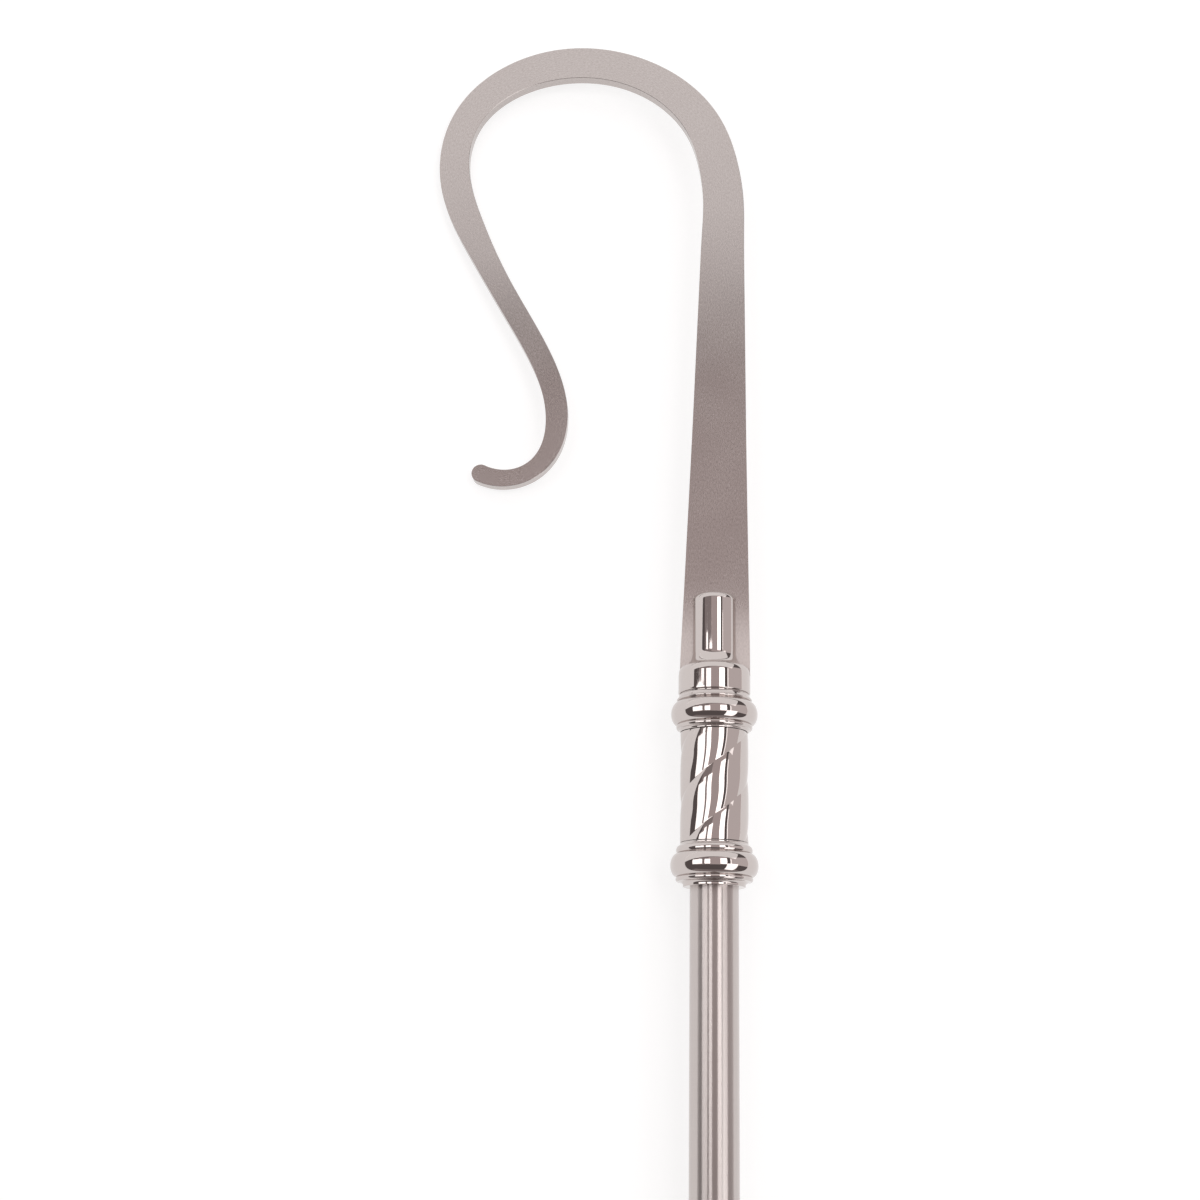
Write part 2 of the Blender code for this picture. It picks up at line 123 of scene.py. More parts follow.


# Satin nickel plate on a flat bar, blasted and lightly brushed: a soft grey sheen with a fine grain,
# rougher at the foot and paler there by a painted glow of light bounced off the polished socket, both
# by a share that falls from one to nothing over the foot's reach.
def makeSatinBar(look):
    material, tree, shader = newMaterial("satinNickelBar")
    place = addNode(tree, "ShaderNodeUVMap", uv_map="alongAcross")
    stretched = addNode(tree, "ShaderNodeMapping", {
        "Vector": place.outputs["UV"], "Scale": (1.0 / look["grainStretch"], 1.0, 1.0)})
    grain = addNode(tree, "ShaderNodeTexNoise", {
        "Vector": stretched.outputs["Vector"], "Scale": 1.0 / look["grain"], "Detail": 2.0})
    wipe = addNode(tree, "ShaderNodeTexNoise", {
        "Vector": place.outputs["UV"], "Scale": 1.0 / look["wipe"], "Detail": 1.0})
    both = addNode(tree, "ShaderNodeMath", {
        0: grain.outputs["Fac"], 1: wipe.outputs["Fac"]}, operation="MULTIPLY")
    roughness = addNode(tree, "ShaderNodeMapRange", {
        "Value": both.outputs["Value"],
        "From Min": look["roughnessSpread"][0], "From Max": look["roughnessSpread"][1],
        "To Min": look["roughness"][0], "To Max": look["roughness"][1]})
    along = addNode(tree, "ShaderNodeSeparateXYZ", {"Vector": place.outputs["UV"]})
    atFoot = addNode(tree, "ShaderNodeMapRange", {
        "Value": along.outputs["X"], "From Min": 0.0, "From Max": look["footReach"],
        "To Min": 1.0, "To Max": 0.0}, interpolation_type="SMOOTHSTEP")
    wholeRoughness = addNode(tree, "ShaderNodeMath", {
        0: atFoot.outputs["Result"], 1: look["footRoughness"], 2: roughness.outputs["Result"]},
        operation="MULTIPLY_ADD")
    speckle = addNode(tree, "ShaderNodeMapRange", {
        "Value": grain.outputs["Fac"],
        "From Min": look["colourSpread"][0], "From Max": look["colourSpread"][1]})
    # painted light: the pale share at the foot is a painted glow of light bounced off the socket
    grainAndPaintedGlowShare = addNode(tree, "ShaderNodeMath", {
        0: atFoot.outputs["Result"], 1: look["footPaintedGlow"], 2: speckle.outputs["Result"]},
        operation="MULTIPLY_ADD")
    colour = addNode(tree, "ShaderNodeMix", {
        "Factor": grainAndPaintedGlowShare.outputs["Value"], "A": linearColour(look["colour"]),
        "B": linearColour(look["paleColour"])}, data_type="RGBA")
    bump = addNode(tree, "ShaderNodeBump", {
        "Height": grain.outputs["Fac"], "Distance": look["grainDepth"], "Strength": 1.0})
    tree.links.new(colour.outputs["Result"], shader.inputs["Base Color"])
    tree.links.new(wholeRoughness.outputs["Value"], shader.inputs["Roughness"])
    tree.links.new(bump.outputs["Normal"], shader.inputs["Normal"])
    shader.inputs["Metallic"].default_value = 1.0
    return material


polishedLook = {
    "colour": "#c6bebb",
    "roughness": (0.025, 0.06),  # least and most over the marks
    "roughnessSpread": (0.35, 0.7),
    "polishMarks": 0.006,  # size of the faint soft patches that a polishing mop leaves
    "waviness": 0.012,  # size of the slow unevenness of a hand-polished face
    "wavinessDepth": 0.000004,
}


# Mirror-polished nickel: crisp reflections, a trace uneven where the mop went over it.
def makePolishedNickel(look):
    material, tree, shader = newMaterial("polishedNickel")
    place = addNode(tree, "ShaderNodeTexCoord")
    marks = addNode(tree, "ShaderNodeTexNoise", {
        "Vector": place.outputs["Object"], "Scale": 1.0 / look["polishMarks"], "Detail": 2.0})
    slow = addNode(tree, "ShaderNodeTexNoise", {
        "Vector": place.outputs["Object"], "Scale": 1.0 / look["waviness"], "Detail": 0.0})
    roughness = addNode(tree, "ShaderNodeMapRange", {
        "Value": marks.outputs["Fac"],
        "From Min": look["roughnessSpread"][0], "From Max": look["roughnessSpread"][1],
        "To Min": look["roughness"][0], "To Max": look["roughness"][1]})
    bump = addNode(tree, "ShaderNodeBump", {
        "Height": slow.outputs["Fac"], "Distance": look["wavinessDepth"], "Strength": 1.0})
    tree.links.new(roughness.outputs["Result"], shader.inputs["Roughness"])
    tree.links.new(bump.outputs["Normal"], shader.inputs["Normal"])
    shader.inputs["Base Color"].default_value = linearColour(look["colour"])
    shader.inputs["Metallic"].default_value = 1.0
    return material


satinTubeLook = {
    "colour": "#c1b9b6",
    "paleColour": "#c6bebb",
    "roughness": (0.278, 0.292),  # least and most over the lines
    "roughnessSpread": (0.3, 0.7),
    "lines": 0.0006,  # real turning lines are about 0.1 mm apart, drawn at 0.6 mm so that they show
    "lineLength": 0.020,  # how far a line goes round before it fades
    "lineDepth": 0.0000001,
    "stretchedShine": 1.0,  # the shine is drawn out along the tube, across the lines
}


# Satin nickel tube, brushed round and round in a lathe: bands of light run straight down it.
def makeSatinTube(look):
    material, tree, shader = newMaterial("satinNickelTube")
    place = addNode(tree, "ShaderNodeUVMap", uv_map="alongAcross")
    stretched = addNode(tree, "ShaderNodeMapping", {
        "Vector": place.outputs["UV"], "Scale": (1.0, look["lines"] / look["lineLength"], 1.0)})
    lines = addNode(tree, "ShaderNodeTexNoise", {
        "Vector": stretched.outputs["Vector"], "Scale": 1.0 / look["lines"], "Detail": 2.0})
    roughness = addNode(tree, "ShaderNodeMapRange", {
        "Value": lines.outputs["Fac"],
        "From Min": look["roughnessSpread"][0], "From Max": look["roughnessSpread"][1],
        "To Min": look["roughness"][0], "To Max": look["roughness"][1]})
    colour = addNode(tree, "ShaderNodeMix", {
        "Factor": lines.outputs["Fac"], "A": linearColour(look["colour"]),
        "B": linearColour(look["paleColour"])}, data_type="RGBA")
    bump = addNode(tree, "ShaderNodeBump", {
        "Height": lines.outputs["Fac"], "Distance": look["lineDepth"], "Strength": 1.0})
    direction = addNode(tree, "ShaderNodeTangent", direction_type="UV_MAP", uv_map="alongAcross")
    tree.links.new(colour.outputs["Result"], shader.inputs["Base Color"])
    tree.links.new(roughness.outputs["Result"], shader.inputs["Roughness"])
    tree.links.new(bump.outputs["Normal"], shader.inputs["Normal"])
    tree.links.new(direction.outputs["Tangent"], shader.inputs["Tangent"])
    shader.inputs["Metallic"].default_value = 1.0
    shader.inputs["Anisotropic"].default_value = look["stretchedShine"]
    return material


satinBar = makeSatinBar(satinBarLook)
polishedNickel = makePolishedNickel(polishedLook)
satinTube = makeSatinTube(satinTubeLook)
print("finishes made")


# Points on an elliptical arc from one angle in degrees to another: the centre, plus the first radius
# times the angle's cosine and the second radius times its sine.
def arc(centre, radii, start, end, count):
    angle = np.radians(np.linspace(start, end, count))
    first = centre[0] + radii[0] * np.cos(angle)
    second = centre[1] + radii[1] * np.sin(angle)
    return np.stack([first, second], axis=1)


# The same line with more points: each straight stretch is cut into equal parts, as many as its
# length over the step, rounded up.
def withSteps(line, step):
    lengths = np.linalg.norm(np.diff(line, axis=0), axis=1)
    counts = np.maximum(np.ceil(lengths / step).astype(int), 1)
    spread = np.repeat(np.arange(len(counts)), counts)
    within = (np.arange(counts.sum()) - np.repeat(np.cumsum(counts) - counts, counts)) / counts[spread]
    points = line[spread] + (line[spread + 1] - line[spread]) * within[:, None]
    return np.concatenate([points, line[-1:]])


# Distances along a line, the running sum of the lengths of its stretches.
def lengthAlong(line):
    return np.concatenate([[0.0], np.cumsum(np.linalg.norm(np.diff(line, axis=0), axis=1))])


# A sheet is a grid of points with the distances along and across it, which become its UV map.
# Turned sheet: a profile of radius and height carried round the staff; at each angle the point is
# radius times its sine across, height up the staff, and radius times its cosine out of the flat.
def turnedSheet(profile, angles):
    radius, height = profile[:, :1], profile[:, 1:]
    across, out = radius * np.sin(angles), radius * np.cos(angles)
    points = np.stack(np.broadcast_arrays(across, height, out), axis=-1)
    along = np.broadcast_to(lengthAlong(profile)[:, None], points.shape[:2])
    across = np.broadcast_to(angles * profile[:, 0].max(), points.shape[:2])
    return points, np.stack([along, across], axis=-1)


meshCare = {"mergeWithin": 0.000002, "sliverWithin": 0.000001, "sharpAngle": 32.0}


# Joins sheets into one closed mesh in the staff's place: each grid cell is a face, points that meet
# are merged, faces that shrank to nothing go, and the rest are turned outwards.
def makePiece(name, node, material, sheets):
    places, faces, uvs = [], [], []
    first = 0
    for points, uv in sheets:
        rows, columns = points.shape[:2]
        index = first + np.arange(rows * columns).reshape(rows, columns)
        cells = np.stack([index[:-1, :-1], index[:-1, 1:], index[1:, 1:], index[1:, :-1]], axis=-1)
        places.append(points.reshape(-1, 3))
        uvs.append(uv.reshape(-1, 2))
        faces.append(cells.reshape(-1, 4))
        first += rows * columns
    places, uvs, faces = np.concatenate(places), np.concatenate(uvs), np.concatenate(faces)
    mesh = bpy.data.meshes.new(name)
    mesh.from_pydata(toScene(places), [], faces)
    layer = mesh.uv_layers.new(name="alongAcross")
    layer.data.foreach_set("uv", uvs[faces.ravel()].ravel())

    work = bmesh.new()
    work.from_mesh(mesh)
    bmesh.ops.remove_doubles(work, verts=work.verts, dist=meshCare["mergeWithin"])
    bmesh.ops.dissolve_degenerate(work, edges=work.edges, dist=meshCare["sliverWithin"])
    bmesh.ops.recalc_face_normals(work, faces=work.faces)
    openEdges = sum(1 for edge in work.edges if len(edge.link_faces) != 2)
    work.to_mesh(mesh)
    work.free()
    mesh.shade_smooth()
    mesh.set_sharp_from_angle(angle=math.radians(meshCare["sharpAngle"]))
    mesh.materials.append(material)
    piece = bpy.data.objects.new(name, mesh)
    scene.collection.objects.link(piece)
    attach(piece, "root")
    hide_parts(node)
    print(f"{name}: {len(mesh.polygons)} faces, {openEdges} open edges")
    return piece


turnedFaces = {"columns": 216, "step": 0.0006}  # faces round a turned piece, and their greatest length
fullTurn = np.linspace(0.0, math.tau, turnedFaces["columns"] + 1)


# A profile carried all the way round, with the height of the piece's own zero added to its heights.
def makeTurnedPiece(name, node, material, profile, foot):
    profile = withSteps(np.array(profile), turnedFaces["step"])
    profile[:, 1] += foot
    return makePiece(name, node, material, [turnedSheet(profile, fullTurn)])


# The tube, open at both ends and hollow. Heights are from the staff's foot.
tubeSize = {
    "radius": 0.0127, "wall": 0.0016, "foot": 0.0083, "top": 1.3516,
    "edge": 0.0003, "edgePoints": 5, "step": 0.030}


# The wall's profile is a closed loop of straight lines and a quarter circle at each corner, down the
# outside and up the bore, carried all the way round.
def makeTube(size):
    outer, inner, edge = size["radius"], size["radius"] - size["wall"], size["edge"]
    foot, top = size["foot"], size["top"]
    corners = [
        arc((outer - edge, top - edge), (edge, edge), 90.0, 0.0, size["edgePoints"]),
        arc((outer - edge, foot + edge), (edge, edge), 0.0, -90.0, size["edgePoints"]),
        arc((inner + edge, foot + edge), (edge, edge), 270.0, 180.0, size["edgePoints"]),
        arc((inner + edge, top - edge), (edge, edge), 180.0, 90.0, size["edgePoints"])]
    profile = withSteps(np.concatenate(corners + [corners[0][:1]]), size["step"])
    return makePiece("satinTube", "staff_tube", satinTube, [turnedSheet(profile, fullTurn)])


makeTube(tubeSize)

# The plain cap on the staff's lower end, bored down to a floor.
ferruleSize = {
    "length": 0.040, "topRadius": 0.0144, "radius": 0.0150, "bore": 0.0130, "floor": 0.008,
    "edge": 0.0006, "edgePoints": 7, "round": 0.003, "roundPoints": 15}


# Its profile goes out over the bore's floor, up the bore, round the edge, straight down to the quarter
# circle at the foot and in again to the middle.
def makeFerrule(size):
    edge, footRound = size["edge"], size["round"]
    profile = np.concatenate([
        [(0.0, size["floor"]), (size["bore"], size["floor"]), (size["bore"], size["length"])],
        arc((size["topRadius"] - edge, size["length"] - edge), (edge, edge), 90.0, 0.0, size["edgePoints"]),
        arc((size["radius"] - footRound, footRound), (footRound, footRound), 0.0, -90.0,
            size["roundPoints"]),
        [(0.0, 0.0)]])
    return makeTurnedPiece("ferruleCap", "foot_ferrule", polishedNickel, profile, 0.0)


makeFerrule(ferruleSize)

# The two collars share one ring profile: a slope at the top, a ring, the large bead, a lip, a cove and
# a short foot. Heights are from the middle of the large bead, rounds are (depth, half height) and a
# reach is how far an arc goes from level, in degrees.
collarSize = {
    "slopeShare": 0.4, "topEdge": 0.0003, "edgePoints": 5,
    "ringRadius": 0.0199, "ringReach": 75.0, "ringPoints": 21,
    "beadRadius": 0.0229, "beadRounds": (0.0036, 0.0060), "beadReach": 82.0, "beadPoints": 49,
    "lipRadius": 0.0201, "lipHeight": -0.0071, "lipRounds": (0.0008, 0.0013),
    "lipReach": (60.0, -85.0), "lipPoints": 17,
    "coveStart": 95.0, "covePoints": 17, "footRound": 0.0004, "footPoints": 7}
lowerCollar = {
    "bead": 1.3517, "top": 0.0115, "topRadius": 0.0179, "ringHeight": 0.0078,
    "ringRounds": (0.0012, 0.0020), "cove": 0.0017, "bottom": -0.0111, "footRadius": 0.0163}
upperCollar = {
    "bead": 1.4314, "top": 0.0100, "topRadius": 0.0188, "ringHeight": 0.0074,
    "ringRounds": (0.0008, 0.0008), "cove": 0.0009, "bottom": -0.0098, "footRadius": 0.0182}


# The profile is a row of elliptical arcs from the top's middle down to the foot's, joined by straight
# lines.
def collarProfile(size, collar):
    edge, foot = size["topEdge"], size["footRound"]
    bead, lip, ring = size["beadRounds"], size["lipRounds"], collar["ringRounds"]
    top, bottom = collar["top"], collar["bottom"]
    slopeFoot = top - (top - collar["ringHeight"] - ring[1]) * size["slopeShare"]
    neck = size["lipRadius"] - lip[0]
    coveFoot = size["lipHeight"] - lip[1] - collar["cove"]
    return np.concatenate([
        [(0.0, top)],
        arc((collar["topRadius"] - edge, top - edge), (edge, edge), 90.0, 0.0, size["edgePoints"]),
        [(collar["topRadius"], slopeFoot)],
        arc((size["ringRadius"] - ring[0], collar["ringHeight"]), ring,
            size["ringReach"], -size["ringReach"], size["ringPoints"]),
        arc((size["beadRadius"] - bead[0], 0.0), bead,
            size["beadReach"], -size["beadReach"], size["beadPoints"]),
        arc((neck, size["lipHeight"]), lip, *size["lipReach"], size["lipPoints"]),
        arc((neck, coveFoot), (neck - collar["footRadius"], collar["cove"]),
            size["coveStart"], 180.0, size["covePoints"]),
        arc((collar["footRadius"] - foot, bottom + foot), (foot, foot), 0.0, -90.0, size["footPoints"]),
        [(0.0, bottom)]])


makeTurnedPiece("lowerKnopCollar", "lower_collar", polishedNickel,
                collarProfile(collarSize, lowerCollar), lowerCollar["bead"])
makeTurnedPiece("upperKnopCollar", "upper_collar", polishedNickel,
                collarProfile(collarSize, upperCollar), upperCollar["bead"])

# The sleeve with three lobes that wind up to the right. Heights are from the staff's foot, the lead is
# the height in which a lobe goes once round, and the drop is how far below the top a groove comes to
# the front.
sleeveSize = {
    "foot": 1.3635, "top": 1.4213, "radius": 0.0179, "lobes": 3, "lead": 0.0825,
    "grooveDepth": 0.0007, "grooveDrop": 0.0178, "lobePower": 3.0, "columns": 288, "rows": 180}


# Radius falls from each lobe's crest by the groove's depth times a power of the share of the way to
# the groove. The angle of a column grows with height by a full turn over the lead.
def makeTwistedSleeve(size):
    height = np.linspace(size["top"], size["foot"], size["rows"])[:, None]
    column = np.arange(size["columns"] + 1)[None, :]
    turn = math.tau * (height - size["top"] + size["grooveDrop"]) / size["lead"]
    angle = math.tau * column / size["columns"] + turn
    across = 2.0 * (column * size["lobes"] / size["columns"] % 1.0) - 1.0
    radius = size["radius"] - size["grooveDepth"] * np.abs(across) ** size["lobePower"]
    radius, angle, height = np.broadcast_arrays(radius, angle, height)
    middle = np.zeros((1, radius.shape[1]))
    radius = np.concatenate([middle, radius, middle])
    angle = np.concatenate([angle[:1], angle, angle[-1:]])
    height = np.concatenate([height[:1], height, height[-1:]])
    points = np.stack([radius * np.sin(angle), height, radius * np.cos(angle)], axis=-1)
    uv = np.stack([height, angle * size["radius"]], axis=-1)
    return makePiece("twistedGrip", "twisted_sleeve", polishedNickel, [(points, uv)])


makeTwistedSleeve(sleeveSize)

# The turned socket, slit from its top for the bar. Heights are from its foot, and the ends of the rim's
# and the cove's arcs are in degrees.
socketSize = {
    "foot": 1.4414, "bottom": 0.0003, "radius": 0.0191, "step": 0.0003, "stepHeight": 0.0006,
    "footRound": 0.0008, "footPoints": 9,
    "cylinderTop": 0.0110, "rimRounds": (0.0030, 0.0048), "rimEnd": 50.0, "rimPoints": 17,
    "coveRise": 0.0082, "coveReach": 0.0182, "coveStart": 265.0, "covePoints": 31,
    "stubRadius": 0.0119, "stubTop": 0.0556, "stubRound": 0.0040, "stubPoints": 25,
    "slitFloor": 0.0108, "slitHalf": 0.003475, "frontColumns": 120, "sideColumns": 12}


# Below the slit's floor the profile goes all the way round. Above it stand two lugs, each the part of
# the turned shape that is further out of the flat than half the slit: at a radius the lug reaches
# to the angle whose cosine is half the slit over the radius. A lug's inner face, its top and the slit's
# floor use the same columns, so that all their edges meet point for point.
def makeSocket(size):
    half, floor = size["slitHalf"], size["slitFloor"]
    share = np.linspace(-1.0, 1.0, size["frontColumns"] + 1)
    coveFoot = size["cylinderTop"] + size["rimRounds"][1] * math.sin(math.radians(size["rimEnd"]))
    footRound, stubRound = size["footRound"], size["stubRound"]
    stepRadius = size["radius"] - footRound - size["step"]
    widest = math.acos(half / size["radius"])
    side = np.linspace(widest, math.pi - widest, size["sideColumns"] + 1)
    angles = np.concatenate([
        share * widest, side[1:], math.pi + share[1:] * widest, math.pi + side[1:]])

    below = withSteps(np.concatenate([
        [(size["radius"], floor)],
        arc((size["radius"] - footRound, size["stepHeight"] + footRound), (footRound, footRound),
            0.0, -90.0, size["footPoints"]),
        [(stepRadius, size["stepHeight"]), (stepRadius, size["bottom"]), (0.0, size["bottom"])]]),
        turnedFaces["step"])
    below[:, 1] += size["foot"]
    sheets = [turnedSheet(below, angles)]

    lug = withSteps(np.concatenate([
        [(size["radius"], floor)],
        arc((size["radius"] - size["rimRounds"][0], size["cylinderTop"]), size["rimRounds"],
            0.0, size["rimEnd"], size["rimPoints"]),
        arc((size["coveReach"], coveFoot + size["coveRise"]),
            (size["coveReach"] - size["stubRadius"], size["coveRise"]),
            size["coveStart"], 180.0, size["covePoints"]),
        arc((size["stubRadius"] - stubRound, size["stubTop"] - stubRound), (stubRound, stubRound),
            0.0, 90.0, size["stubPoints"])]), turnedFaces["step"])
    topReach = math.sqrt(lug[-1, 0] ** 2 - half ** 2)
    shrinking = share[share >= 0.0][::-1][1:] * topReach
    top = np.stack([np.hypot(shrinking, half), np.full(len(shrinking), lug[-1, 1])], axis=1)
    radius = np.concatenate([lug, top])[:, 0]
    height = np.concatenate([lug, top])[:, 1] + size["foot"]
    along = lengthAlong(np.concatenate([lug, top]))
    reach = np.arccos(np.clip(half / radius, -1.0, 1.0))
    angle = reach[:, None] * share[None, :]
    rows = len(lug)
    inner = np.sqrt(lug[:, 0] ** 2 - half ** 2)[:, None] * share[None, :]
    across, out = radius[:, None] * np.sin(angle), radius[:, None] * np.cos(angle)
    for facing in (1.0, -1.0):
        outside = np.stack(np.broadcast_arrays(across, height[:, None], facing * out), axis=-1)
        inside = np.stack(np.broadcast_arrays(inner, height[:rows, None], facing * half), axis=-1)
        distances = np.stack(np.broadcast_arrays(along[:, None], angle * size["radius"]), axis=-1)
        sheets.append((outside, distances))
        sheets.append((inside, np.stack(np.broadcast_arrays(along[:rows, None], inner), axis=-1)))

    depth = size["radius"] * np.cos(side)[:, None]
    width = np.sqrt(size["radius"] ** 2 - depth ** 2) * share[None, :]
    floorPoints = np.stack(np.broadcast_arrays(width, floor + size["foot"], depth), axis=-1)
    sheets.append((floorPoints, np.stack(np.broadcast_arrays(depth, width), axis=-1)))
    return makePiece("slitSocket", "socket", polishedNickel, sheets)


makeSocket(socketSize)

# The crook: a flat bar bent in its own plane. Bends are (distance up the bar, turn to the left in
# 1/m) and widths are (distance, width), both straight in between and the widths then smoothed.
crookSize = {
    "foot": 1.4525, "offset": 0.0003, "lean": 1.0, "thickness": 0.00635, "edge": 0.00015,
    "bends": [(0.0, 0.0), (0.235, 0.0), (0.255, -1.5), (0.275, 7.6), (0.300, 6.3), (0.325, 14.5),
              (0.375, 11.4), (0.415, 11.7), (0.450, 12.8), (0.490, 18.5), (0.530, 13.5), (0.570, 2.1),
              (0.620, 1.1), (0.660, -6.2), (0.700, -20.9), (0.725, -38.8), (0.762, -31.7)],
    "widths": [(0.0, 0.0375), (0.130, 0.0299), (0.270, 0.0232), (0.375, 0.0191), (0.430, 0.0197),
               (0.500, 0.0164), (0.550, 0.0179), (0.595, 0.0131), (0.640, 0.0127), (0.700, 0.0124),
               (0.725, 0.0091), (0.762, 0.0103)],
    "widthEase": 0.016, "easePoints": 9,  # widths are averaged over this far each way, at so many points
    "spineStep": 0.0005, "stationStep": 3, "tipSteps": 28, "faceSteps": 6}


# The bar's middle line is the heading summed up along the bar, where the heading is the sum of the
# bends. Each side lies half a width beside it, and the tip is a half circle on the last half width.
def crookSides(size):
    distance = np.arange(0.0, size["bends"][-1][0] + size["spineStep"] / 2.0, size["spineStep"])
    bend = np.interp(distance, *np.array(size["bends"]).T)
    heading = math.radians(90.0 - size["lean"]) + np.concatenate(
        [[0.0], np.cumsum((bend[1:] + bend[:-1]) / 2.0 * size["spineStep"])])
    between = (heading[1:] + heading[:-1]) / 2.0
    middle = np.stack([
        size["offset"] + np.concatenate([[0.0], np.cumsum(np.cos(between))]) * size["spineStep"],
        size["foot"] + np.concatenate([[0.0], np.cumsum(np.sin(between))]) * size["spineStep"]], axis=1)
    ease = np.linspace(-size["widthEase"], size["widthEase"], size["easePoints"])[:, None]
    half = np.interp(distance + ease, *np.array(size["widths"]).T).mean(axis=0) / 2.0
    half[0] = size["widths"][0][1] / 2.0
    growth = np.gradient(half, distance)

    end = int(round((distance[-1] - half[-1]) / size["spineStep"]))
    pick = np.append(np.arange(0, end, size["stationStep"]), end)
    ahead = np.stack([np.cos(heading[pick]), np.sin(heading[pick])], axis=1)
    left = np.stack([-ahead[:, 1], ahead[:, 0]], axis=1)
    turn = np.linspace(0.0, math.pi / 2.0, size["tipSteps"] + 1)[1:]
    tipDistance = distance[end] + half[end] * np.sin(turn)
    turn = turn[:, None]
    sides = []
    for way in (1.0, -1.0):
        points = middle[pick] + way * half[pick, None] * left
        outward = way * (1.0 - way * bend[pick] * half[pick])[:, None] * left - growth[pick, None] * ahead
        outward /= np.linalg.norm(outward, axis=1, keepdims=True)
        tipOutward = way * np.cos(turn) * left[-1] + np.sin(turn) * ahead[-1]
        tipPoints = middle[end] + half[end] * tipOutward
        sides.append((np.concatenate([points, tipPoints]), np.concatenate([outward, tipOutward])))
    return sides, np.append(distance[pick], tipDistance)


# Round each station goes one ring: up the left side, over the front, down the right side and over the
# back. A side has four points, two for each bevel: one half the thickness out and moved in by the edge,
# and one at the bar's full width, less far out by the edge.
def makeCrook(size):
    sides, distance = crookSides(size)
    (left, leftOut), (right, rightOut) = sides
    edge, halfThick = size["edge"], size["thickness"] / 2.0
    inset = np.array([edge, 0.0, 0.0, edge])
    out = np.array([-halfThick, edge - halfThick, halfThick - edge, halfThick])

    def sidePoints(points, outward):
        flat = points[:, None, :] - outward[:, None, :] * inset[None, :, None]
        return np.concatenate([flat, np.broadcast_to(out[None, :, None], flat.shape[:2] + (1,))], axis=2)

    up = sidePoints(left, leftOut)
    down = sidePoints(right, rightOut)[:, ::-1]
    share = np.linspace(0.0, 1.0, size["faceSteps"] + 1)[None, 1:-1, None]
    front = up[:, -1:] + (down[:, :1] - up[:, -1:]) * share
    back = down[:, -1:] + (up[:, :1] - down[:, -1:]) * share
    ring = np.concatenate([up, front, down, back, up[:, :1]], axis=1)
    seat = np.broadcast_to(np.array([size["offset"], size["foot"], 0.0]), ring[:1].shape)
    girth = np.linalg.norm(np.diff(ring, axis=1), axis=2).cumsum(axis=1)
    across = np.concatenate([np.zeros((len(ring), 1)), girth], axis=1)
    across -= across[:, -1:] / 2.0
    points = np.concatenate([seat, ring])
    across = np.concatenate([across[:1], across])
    along = np.concatenate([[0.0], distance])[:, None]
    uv = np.stack(np.broadcast_arrays(along, across), axis=-1)
    return makePiece("crookBar", "crook", satinBar, [(points, uv)])


makeCrook(crookSize)
print("pieces made")

# The floor, a wide sheet of pale matt paper under the staff, which glows as a light table does so that
# shadows stay faint.
floorSize = {"side": 40.0, "colour": "#a4a4a4", "glow": 0.72, "fibre": 0.0025, "roughness": (0.85, 1.0)}


def makeFloor(size):
    material, tree, shader = newMaterial("matPaper")
    place = addNode(tree, "ShaderNodeTexCoord")
    fibre = addNode(tree, "ShaderNodeTexNoise", {
        "Vector": place.outputs["Object"], "Scale": 1.0 / size["fibre"], "Detail": 2.0})
    roughness = addNode(tree, "ShaderNodeMapRange", {
        "Value": fibre.outputs["Fac"], "To Min": size["roughness"][0], "To Max": size["roughness"][1]})
    tree.links.new(roughness.outputs["Result"], shader.inputs["Roughness"])
    shader.inputs["Base Color"].default_value = linearColour(size["colour"])
    shader.inputs["Specular IOR Level"].default_value = 0.0
    shader.inputs["Emission Color"].default_value = (1.0, 1.0, 1.0, 1.0)
    shader.inputs["Emission Strength"].default_value = size["glow"]
    reach = size["side"] / 2.0
    corners = [(-reach, -reach, 0.0), (reach, -reach, 0.0), (reach, reach, 0.0), (-reach, reach, 0.0)]
    mesh = bpy.data.meshes.new("paperFloor")
    mesh.from_pydata(corners, [], [(0, 1, 2, 3)])
    mesh.materials.append(material)
    floor = bpy.data.objects.new("paperFloor", mesh)
    scene.collection.objects.link(floor)


makeFloor(floorSize)

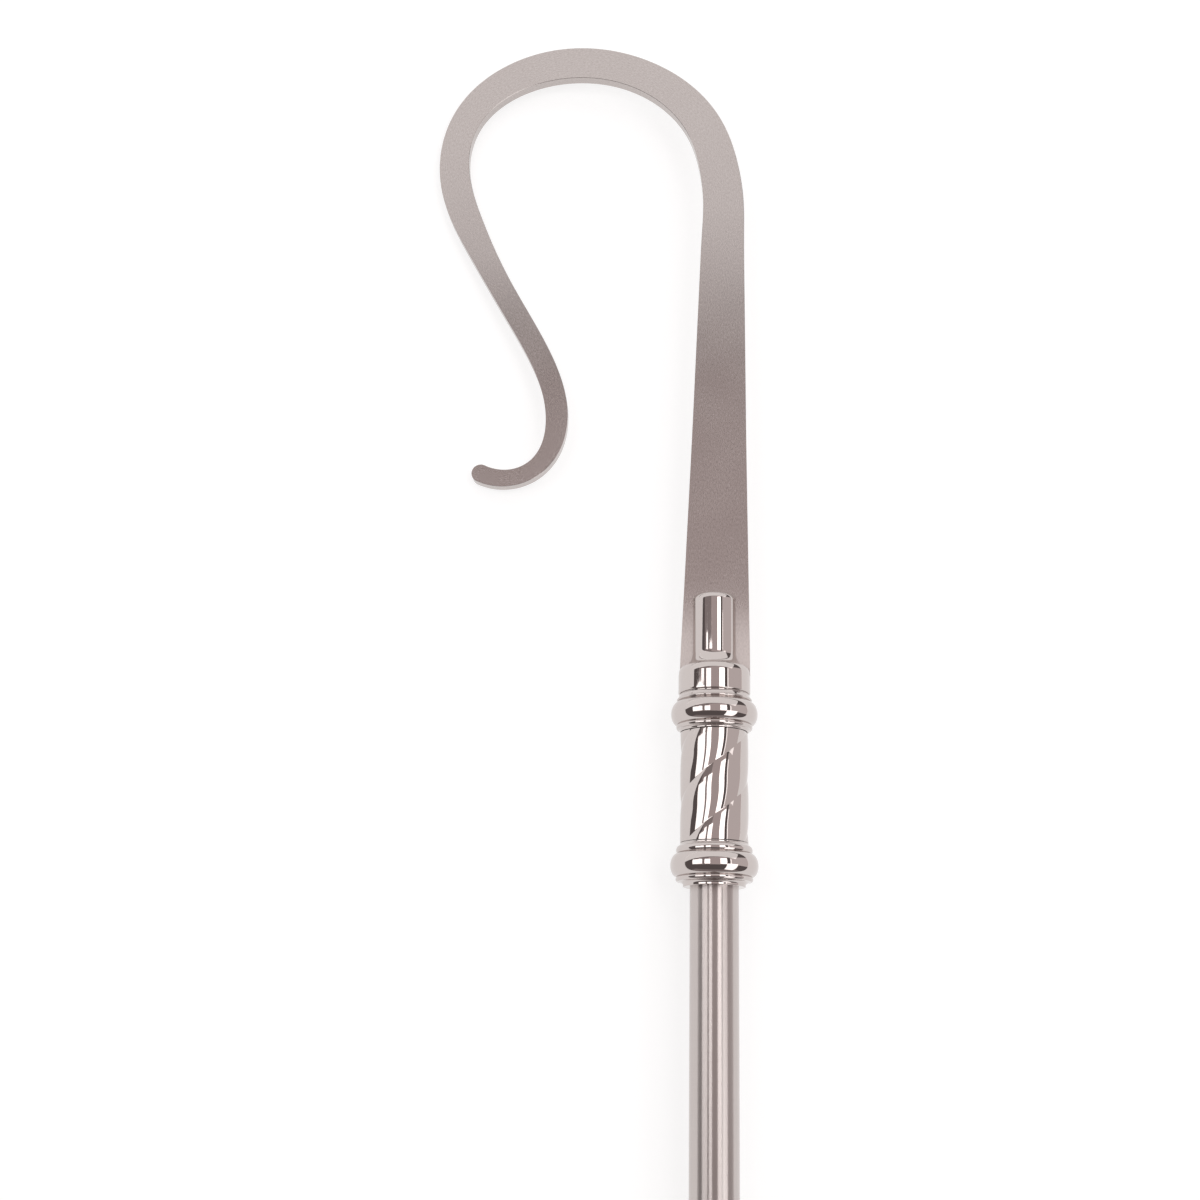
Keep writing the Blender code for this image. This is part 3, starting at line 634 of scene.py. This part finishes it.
# The studio: soft panels hung round the staff, each at an angle from straight above it (positive to
# the right), at a distance, and from one place up the staff to another, with its brightness. A panel
# with a lean comes down by that angle towards the crook's end, so that one of -90 stands upright, and
# a shift moves it sideways.
studioPanels = {
    "leftStrip": {
        "angle": -44.7, "distance": 1.6, "width": 0.76, "from": 1.09, "to": 1.795, "light": 2.0},
    "leftStripEnd": {
        "angle": -37.2, "distance": 1.6, "width": 0.24, "from": 1.795, "to": 1.87, "light": 2.0},
    "nearLeftStrip": {
        "angle": -17.8, "distance": 1.6, "width": 0.40, "from": 1.09, "to": 1.855, "light": 2.4},
    "rightStrip": {
        "angle": 24.5, "distance": 1.6, "width": 0.48, "from": 1.09, "to": 2.0, "light": 2.4},
    "rightSliver": {
        "angle": 44.0, "distance": 1.6, "width": 0.07, "from": 1.09, "to": 1.9, "light": 1.3},
    "lowSoftbox": {
        "angle": 49.0, "distance": 1.6, "width": 0.88, "from": -0.6, "to": 1.15, "light": 1.9},
    "ceiling": {
        "angle": 9.5, "distance": 1.75, "width": 1.60, "from": 0.9, "to": 2.4, "light": 0.44,
        "colour": "#ffefee"},
    "leftFill": {
        "angle": -32.5, "distance": 1.8, "width": 1.13, "from": 0.9, "to": 2.4, "light": 0.19,
        "colour": "#ffefee"},
    "rightWall": {
        "angle": 73.0, "distance": 2.2, "width": 2.65, "from": 0.9, "to": 2.5, "light": 0.60,
        "colour": "#fff6f5"},
    "crookBackdrop": {
        "angle": 0.0, "distance": 1.6, "width": 14.6, "from": 2.4, "to": 4.96, "light": 0.94,
        "lean": 38.7, "shift": -4.7},
    "footWall": {
        "angle": 0.0, "distance": 0.0, "width": 6.0, "from": -1.5, "to": 0.3, "light": 0.16,
        "lean": -90.0, "colour": "#ffefee"}}
studioLook = {"panelColour": "#ffffff", "roomColour": "#ffefee", "roomLight": 0.14}


# A panel starts straight out from the staff at its angle and runs up the staff, less what it leans in.
# Its power is its light times pi times its area.
def makeStudio(panels, look):
    for name, panel in panels.items():
        angle, lean = math.radians(panel["angle"]), math.radians(panel.get("lean", 0.0))
        up = np.array([0.0, 1.0, 0.0])
        outward = np.array([math.sin(angle), 0.0, math.cos(angle)])
        across = np.array([math.cos(angle), 0.0, -math.sin(angle)])
        run = math.cos(lean) * up - math.sin(lean) * outward
        facing = math.sin(lean) * up + math.cos(lean) * outward
        length = panel["to"] - panel["from"]
        centre = outward * panel["distance"] + up * panel["from"] + run * length / 2.0
        centre += across * panel.get("shift", 0.0)
        lamp = bpy.data.lights.new(name, "AREA")
        lamp.shape = "RECTANGLE"
        lamp.size = panel["width"]
        lamp.size_y = length
        lamp.energy = panel["light"] * math.pi * panel["width"] * length
        lamp.color = linearColour(panel.get("colour", look["panelColour"]))[:3]
        fixture = bpy.data.objects.new(name, lamp)
        place = np.eye(4)
        place[:3, :3] = staffTurn @ np.stack([across, run, facing], axis=1)
        place[:3, 3] = toScene(centre)
        fixture.matrix_world = Matrix(place.tolist())
        fixture.visible_camera = False
        scene.collection.objects.link(fixture)
    world = bpy.data.worlds.new("dimRoom")
    scene.world = world
    world.use_nodes = True
    room = world.node_tree.nodes["Background"]
    room.inputs["Color"].default_value = linearColour(look["roomColour"])
    room.inputs["Strength"].default_value = look["roomLight"]


makeStudio(studioPanels, studioLook)

# The camera looks down on the lying staff, square to the crook but tilted up the staff and a little
# to the left. Height is from the flat of the crook's middle, and place is the distance up the staff.
cameraView = {
    "place": 1.243, "height": 0.93771, "tilt": 15.0, "turn": 3.6334,
    "lens": 54.0, "sensor": 36.0, "farthest": 100.0}


def placeCamera(view):
    tilt, turn = math.radians(view["tilt"]), math.radians(view["turn"])
    straight = np.array([0.0, math.sin(tilt), -math.cos(tilt)])
    sideways = np.array([1.0, 0.0, 0.0])
    above = np.array([0.0, math.cos(tilt), math.sin(tilt)])
    ahead = math.cos(turn) * straight - math.sin(turn) * sideways
    right = math.cos(turn) * sideways + math.sin(turn) * straight
    place = np.eye(4)
    place[:3, :3] = staffTurn @ np.stack([right, above, -ahead], axis=1)
    place[:3, 3] = toScene(np.array([0.0, view["place"], view["height"]]))
    lens = bpy.data.cameras.new("camera")
    lens.lens = view["lens"]
    lens.sensor_width = view["sensor"]
    lens.clip_end = view["farthest"]
    camera = bpy.data.objects.new("camera", lens)
    camera.matrix_world = Matrix(place.tolist())
    scene.collection.objects.link(camera)
    scene.camera = camera


placeCamera(cameraView)
print("studio and camera set")
